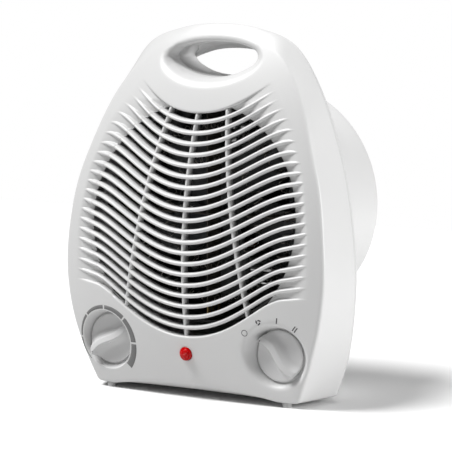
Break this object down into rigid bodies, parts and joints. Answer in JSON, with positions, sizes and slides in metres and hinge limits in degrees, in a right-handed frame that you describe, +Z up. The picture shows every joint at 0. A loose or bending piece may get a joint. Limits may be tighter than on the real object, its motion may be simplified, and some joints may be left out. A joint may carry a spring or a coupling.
{
  "type": "fan convector heater",
  "caption": "Upright portable fan heater with a carry handle, wavy outlet grille, round rear intake drum, thermostat and heat selector knobs and a signal lamp.",
  "frame": {"origin": "floor point under the middle of the heater's box", "axes": "+Z up, +Y from the grille to the back, +X to the right seen from the front"},
  "size_m": [0.218, 0.1356, 0.263],
  "materials": {
    "housing_plastic": "satin white moulded plastic",
    "plated_steel": "zinc-plated sheet",
    "mica": "pale mica board",
    "resistance_wire": "oxidised nichrome",
    "brass_tab": "brass",
    "cutout_shell": "dark phenolic",
    "fan_plastic": "light grey nylon",
    "dark_steel": "black oxide",
    "bright_steel": "ground steel",
    "laminated_steel": "stacked laminations",
    "bobbin_nylon": "natural nylon",
    "copper_winding": "enamelled copper",
    "bronze": "sintered bronze",
    "knob_plastic": "fine grey satin",
    "phenolic": "moulded phenolic",
    "red_lens": "clear red",
    "neon_glass": "clear glass",
    "sleeve_plastic": "white",
    "wire_jacket": "insulated wire",
    "gland_rubber": "white soft plastic",
    "foot_plastic": "light grey"
  },
  "bodies": {
    "housing": {"front_housing": "housing_plastic", "rear_housing": "housing_plastic", "heater_duct": "plated_steel", "mica_cross": "mica", "inner_coil": "resistance_wire", "outer_coil": "resistance_wire", "coil_terminals": "brass_tab", "thermal_cutout": "cutout_shell", "thermal_fuse": "plated_steel", "motor_stator": "laminated_steel", "coil_bobbin": "bobbin_nylon", "motor_winding": "copper_winding", "motor_front_bracket": "plated_steel", "motor_rear_bracket": "plated_steel", "motor_bearings": "bronze", "motor_screws": "plated_steel", "motor_plate": "plated_steel", "plate_screws": "plated_steel", "duct_screws": "plated_steel", "thermostat_body": "phenolic", "thermostat_screws": "plated_steel", "selector_switch": "phenolic", "selector_screws": "plated_steel", "indicator_lens": "red_lens", "neon_lamp": "neon_glass", "lamp_sleeve": "sleeve_plastic", "terminal_block": "bobbin_nylon", "supply_wires": "wire_jacket", "control_wires": "wire_jacket", "cord_gland": "gland_rubber", "cord_clamp": "bobbin_nylon", "clamp_screws": "plated_steel", "feet": "foot_plastic", "housing_screws": "dark_steel"},
    "fan": {"fan_impeller": "fan_plastic", "impeller_nut": "dark_steel", "motor_shaft": "bright_steel", "motor_rotor": "dark_steel"},
    "thermostat_dial": {"thermostat_knob": "knob_plastic", "thermostat_spindle": "bright_steel"},
    "selector_dial": {"selector_knob": "knob_plastic", "selector_spindle": "bright_steel"}
  },
  "joints": [
    {"name": "fan_spin", "type": "hinge", "parent": "housing", "child": "fan", "pos_m": [0, 0, 0.129], "axis": [0, 1, 0], "continuous": true},
    {"name": "thermostat_turn", "type": "hinge", "parent": "housing", "child": "thermostat_dial", "pos_m": [-0.0697, -0.055, 0.0362], "axis": [0, 1, 0], "range_deg": [0, 270]},
    {"name": "selector_turn", "type": "hinge", "parent": "housing", "child": "selector_dial", "pos_m": [0.0697, -0.055, 0.0362], "axis": [0, 1, 0], "range_deg": [0, 90]}
  ]
}
